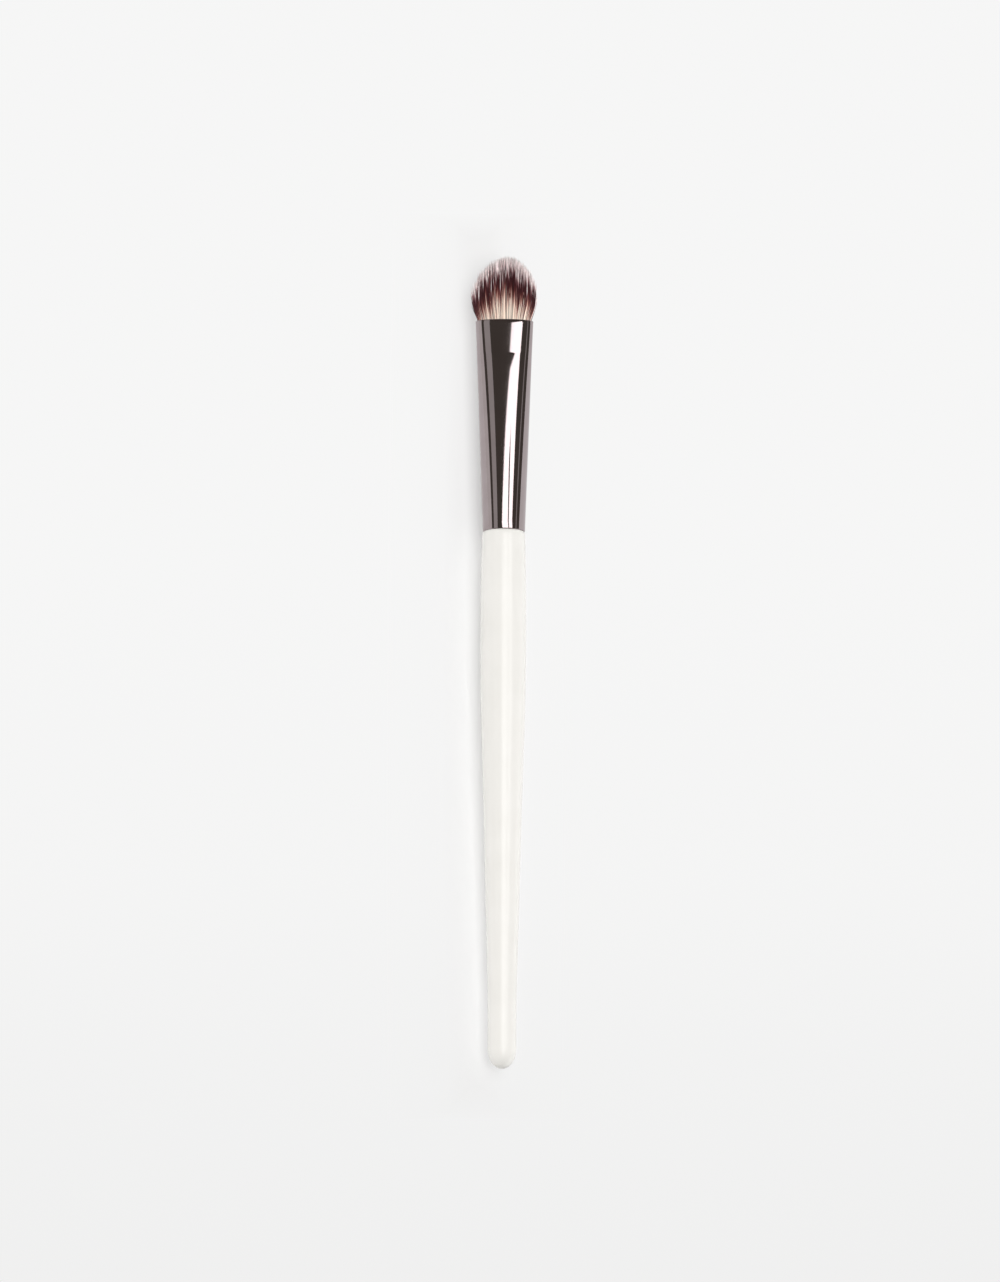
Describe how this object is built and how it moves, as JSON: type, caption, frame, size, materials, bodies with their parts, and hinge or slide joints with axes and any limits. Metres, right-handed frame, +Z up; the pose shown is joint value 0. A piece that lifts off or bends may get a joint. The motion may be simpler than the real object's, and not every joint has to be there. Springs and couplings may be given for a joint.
{
  "type": "eyeshadow brush",
  "caption": "Slim eye make-up brush: tapered white-lacquered handle, dark metal ferrule pressed from round to oval, and a soft domed head of banded filaments that bends at the mouth.",
  "frame": {"origin": "under the middle of the brush's length, on the plane that its belly touches as it lies", "axes": "+Y along the brush from the tail to the filament tips, +Z up, square to the head's broad face, +X across the head's width"},
  "size_m": [0.012, 0.15, 0.0083],
  "materials": {
    "handle_wood": "turned birch, sealed under lacquer",
    "white_lacquer": "gloss warm white lacquer",
    "handle_glue": "set glue",
    "ferrule_metal": "polished dark nickel plate with a mauve cast, over brass",
    "epoxy_resin": "cast amber epoxy",
    "binding_cotton": "twisted cotton thread",
    "filaments": "fine tapered synthetic filaments: cream base, burgundy brown band, pale tips"
  },
  "bodies": {
    "stem": {"handle_core": "handle_wood", "handle_lacquer": "white_lacquer", "spigot_glue": "handle_glue", "ferrule": "ferrule_metal", "potting_resin": "epoxy_resin", "binding_thread": "binding_cotton", "filament_root": "filaments"},
    "head": {"filament_head": "filaments"}
  },
  "joints": [
    {"name": "head_bend", "type": "hinge", "parent": "stem", "child": "head", "pos_m": [0, 0.0628, 0.00416], "axis": [1, 0, 0], "range_deg": [-25, 25], "stiffness_Nm_per_rad": 0.008}
  ]
}
